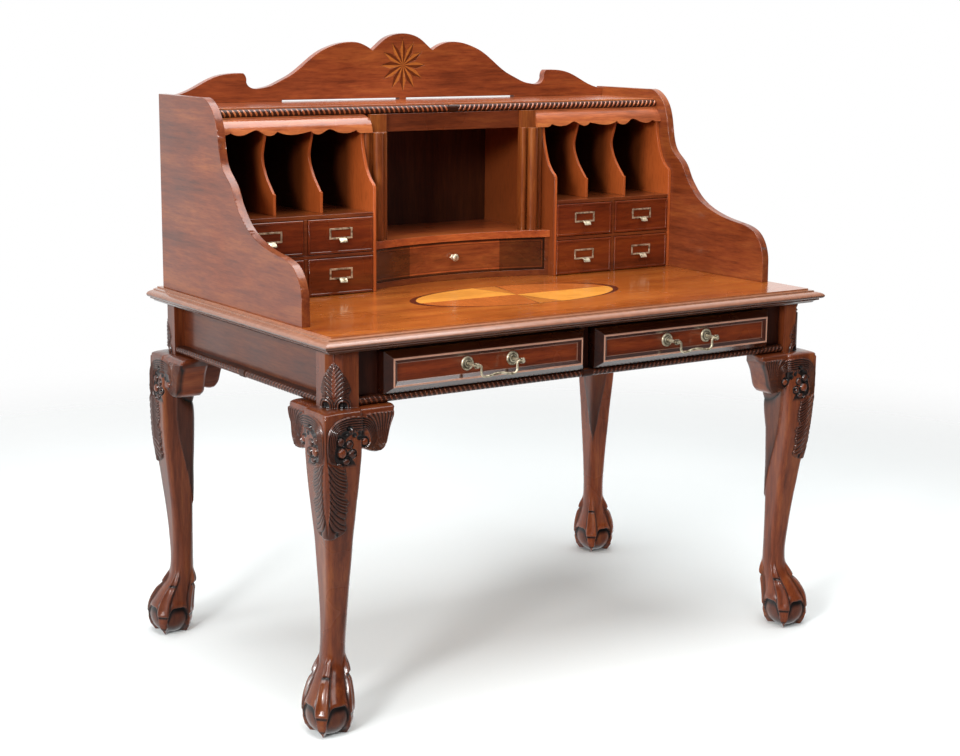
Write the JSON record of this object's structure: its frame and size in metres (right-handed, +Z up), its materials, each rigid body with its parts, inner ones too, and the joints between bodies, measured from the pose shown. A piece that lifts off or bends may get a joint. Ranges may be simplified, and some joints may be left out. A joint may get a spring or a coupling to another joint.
{
  "type": "bonheur du jour",
  "caption": "Writing table on cabriole legs with ball-and-claw feet, wide drawers in the apron, and a scrolled gallery of small drawers, pigeonholes and an open niche.",
  "frame": {"origin": "on the floor under the middle of the whole piece's width and depth", "axes": "+Z up, -Y towards the person at the desk, +X to that person's right"},
  "size_m": [1.2834, 0.8263, 1.307],
  "materials": {
    "mahogany": "polished reddish mahogany, satin gloss",
    "carved_mahogany": "carved mahogany, dark in the hollows",
    "mahogany_front": "figured mahogany veneer, high gloss",
    "drawer_lining": "plain unpolished wood",
    "satinwood": "pale satinwood inlay, polished flush",
    "brass": "aged pale brass"
  },
  "bodies": {
    "carcass": {"leg_front_left": "mahogany", "knee_ears_front_left": "carved_mahogany", "leg_rear_left": "mahogany", "knee_ears_rear_left": "carved_mahogany", "apron_left": "mahogany", "gallery_side_left": "mahogany", "leg_front_right": "mahogany", "knee_ears_front_right": "carved_mahogany", "leg_rear_right": "mahogany", "knee_ears_rear_right": "carved_mahogany", "apron_right": "mahogany", "gallery_side_right": "mahogany", "apron_back": "mahogany", "front_frame": "mahogany", "drawer_runners": "drawer_lining", "apron_rope": "carved_mahogany", "writing_top": "mahogany", "top_inlay": "satinwood", "gallery_back": "mahogany", "gallery_shelf": "mahogany", "shelf_rope": "carved_mahogany", "crest_board": "mahogany", "crest_star": "satinwood", "partitions": "mahogany", "side_liners": "mahogany", "pigeonhole_dividers": "mahogany", "bank_frames": "mahogany", "valances": "mahogany", "frieze_rail": "mahogany", "columns": "mahogany", "centre_base": "mahogany", "centre_shelf": "mahogany"},
    "centre_drawer": {"centre_drawer_front": "mahogany_front", "centre_drawer_box": "drawer_lining", "centre_drawer_knob": "brass"},
    "wide_drawer_left": {"wide_drawer_front_left": "mahogany_front", "wide_drawer_box_left": "drawer_lining", "handle_posts_left": "brass"},
    "bail_left": {"bail_left": "brass"},
    "small_drawer_left_lower_inner": {"small_drawer_left_lower_inner": "mahogany_front", "small_pull_left_lower_inner": "brass"},
    "small_drawer_left_lower_outer": {"small_drawer_left_lower_outer": "mahogany_front", "small_pull_left_lower_outer": "brass"},
    "small_drawer_left_upper_inner": {"small_drawer_left_upper_inner": "mahogany_front", "small_pull_left_upper_inner": "brass"},
    "small_drawer_left_upper_outer": {"small_drawer_left_upper_outer": "mahogany_front", "small_pull_left_upper_outer": "brass"},
    "wide_drawer_right": {"wide_drawer_front_right": "mahogany_front", "wide_drawer_box_right": "drawer_lining", "handle_posts_right": "brass"},
    "bail_right": {"bail_right": "brass"},
    "small_drawer_right_lower_inner": {"small_drawer_right_lower_inner": "mahogany_front", "small_pull_right_lower_inner": "brass"},
    "small_drawer_right_lower_outer": {"small_drawer_right_lower_outer": "mahogany_front", "small_pull_right_lower_outer": "brass"},
    "small_drawer_right_upper_inner": {"small_drawer_right_upper_inner": "mahogany_front", "small_pull_right_upper_inner": "brass"},
    "small_drawer_right_upper_outer": {"small_drawer_right_upper_outer": "mahogany_front", "small_pull_right_upper_outer": "brass"}
  },
  "joints": [
    {"name": "centre_drawer_slide", "type": "slide", "parent": "carcass", "child": "centre_drawer", "axis": [0, -1, 0], "range_m": [0, 0.14]},
    {"name": "wide_drawer_left_slide", "type": "slide", "parent": "carcass", "child": "wide_drawer_left", "axis": [0, -1, 0], "range_m": [0, 0.35]},
    {"name": "bail_left_hinge", "type": "hinge", "parent": "wide_drawer_left", "child": "bail_left", "pos_m": [-0.2485, -0.4084, 0.694], "axis": [-1, 0, 0], "range_deg": [-60, 105]},
    {"name": "small_drawer_left_lower_inner_slide", "type": "slide", "parent": "carcass", "child": "small_drawer_left_lower_inner", "axis": [0, -1, 0], "range_m": [0, 0.18]},
    {"name": "small_drawer_left_lower_outer_slide", "type": "slide", "parent": "carcass", "child": "small_drawer_left_lower_outer", "axis": [0, -1, 0], "range_m": [0, 0.18]},
    {"name": "small_drawer_left_upper_inner_slide", "type": "slide", "parent": "carcass", "child": "small_drawer_left_upper_inner", "axis": [0, -1, 0], "range_m": [0, 0.18]},
    {"name": "small_drawer_left_upper_outer_slide", "type": "slide", "parent": "carcass", "child": "small_drawer_left_upper_outer", "axis": [0, -1, 0], "range_m": [0, 0.18]},
    {"name": "wide_drawer_right_slide", "type": "slide", "parent": "carcass", "child": "wide_drawer_right", "axis": [0, -1, 0], "range_m": [0, 0.35]},
    {"name": "bail_right_hinge", "type": "hinge", "parent": "wide_drawer_right", "child": "bail_right", "pos_m": [0.2485, -0.4084, 0.694], "axis": [-1, 0, 0], "range_deg": [-60, 105]},
    {"name": "small_drawer_right_lower_inner_slide", "type": "slide", "parent": "carcass", "child": "small_drawer_right_lower_inner", "axis": [0, -1, 0], "range_m": [0, 0.18]},
    {"name": "small_drawer_right_lower_outer_slide", "type": "slide", "parent": "carcass", "child": "small_drawer_right_lower_outer", "axis": [0, -1, 0], "range_m": [0, 0.18]},
    {"name": "small_drawer_right_upper_inner_slide", "type": "slide", "parent": "carcass", "child": "small_drawer_right_upper_inner", "axis": [0, -1, 0], "range_m": [0, 0.18]},
    {"name": "small_drawer_right_upper_outer_slide", "type": "slide", "parent": "carcass", "child": "small_drawer_right_upper_outer", "axis": [0, -1, 0], "range_m": [0, 0.18]}
  ]
}
